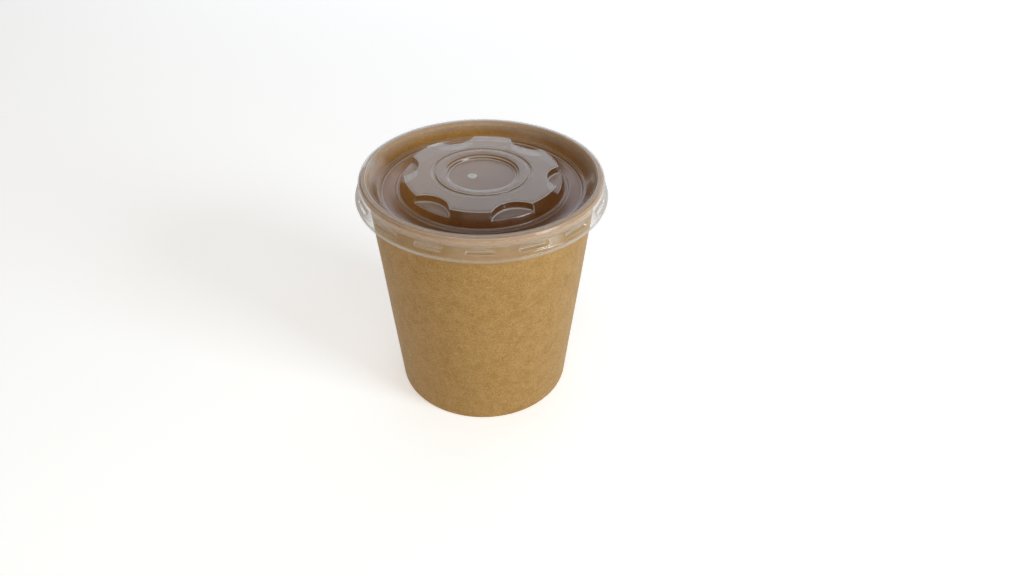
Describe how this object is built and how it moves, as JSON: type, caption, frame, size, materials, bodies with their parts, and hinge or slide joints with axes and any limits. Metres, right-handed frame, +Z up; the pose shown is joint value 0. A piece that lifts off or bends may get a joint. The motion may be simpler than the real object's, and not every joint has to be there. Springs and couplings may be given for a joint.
{
  "type": "takeaway soup container",
  "caption": "Round tapered kraft paper food cup with a rolled rim, a recessed base and a clear press-on lid with a raised, scalloped centre.",
  "frame": {"origin": "centre of the ring the container stands on, at table level", "axes": "+Z up along the container's axis; -Y is the side that faces the viewer"},
  "size_m": [0.1028, 0.1028, 0.1032],
  "materials": {
    "kraft_wall": "coated kraft paperboard, matt, mottled brown fibres",
    "kraft_base": "coated kraft paperboard, matt",
    "lid_plastic": "thin clear, slightly milky polypropylene, glossy"
  },
  "bodies": {
    "root": {"cup_wall": "kraft_wall", "cup_base": "kraft_base", "lid": "lid_plastic"}
  },
  "joints": []
}
